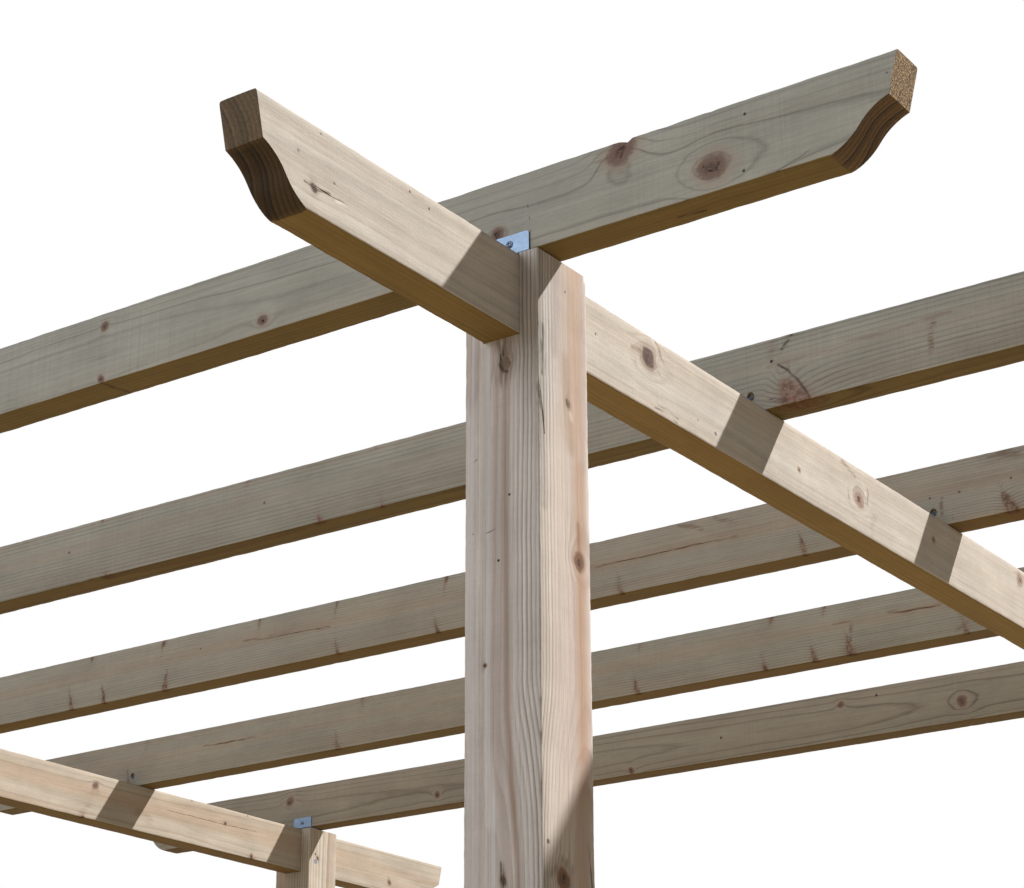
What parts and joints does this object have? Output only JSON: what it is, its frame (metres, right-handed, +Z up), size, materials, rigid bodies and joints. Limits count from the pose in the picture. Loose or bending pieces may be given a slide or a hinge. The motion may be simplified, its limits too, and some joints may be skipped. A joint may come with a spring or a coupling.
{
  "type": "wooden pergola",
  "caption": "Free-standing sawn timber pergola: forked square posts carry two beams, with rafters across them, all with ogee-cut ends, zinc angle brackets at the end rafters.",
  "frame": {"origin": "centre of the box round the whole pergola, at ground level, under the four posts' feet", "axes": "+Z up, X along the rafters with +X towards the right-hand side seen from the front, Y along the beams with +Y from the first rafter to the last"},
  "size_m": [2.995, 3.041, 2.497],
  "materials": {
    "post_timber": "rough sawn softwood, pressure treated, pinkish grey, weathering",
    "beam_timber": "rough sawn softwood, pressure treated, brown to grey, weathering",
    "rafter_timber": "rough sawn softwood, pressure treated, grey-beige, knotty",
    "zinc_plate": "bright zinc plated sheet",
    "screw_steel": "dull zinc plated screw"
  },
  "bodies": {
    "root": {"post_front_left": "post_timber", "post_front_right": "post_timber", "post_back_left": "post_timber", "post_back_right": "post_timber", "beam_left": "beam_timber", "beam_right": "beam_timber", "rafter_1": "rafter_timber", "rafter_2": "rafter_timber", "rafter_3": "rafter_timber", "rafter_4": "rafter_timber", "rafter_5": "rafter_timber", "bracket_front_left": "zinc_plate", "bracket_front_right": "zinc_plate", "bracket_back_left": "zinc_plate", "bracket_back_right": "zinc_plate", "fork_screws_front": "screw_steel", "fork_screws_back": "screw_steel", "toe_screws_2": "screw_steel", "toe_screws_3": "screw_steel", "toe_screws_4": "screw_steel"}
  },
  "joints": []
}
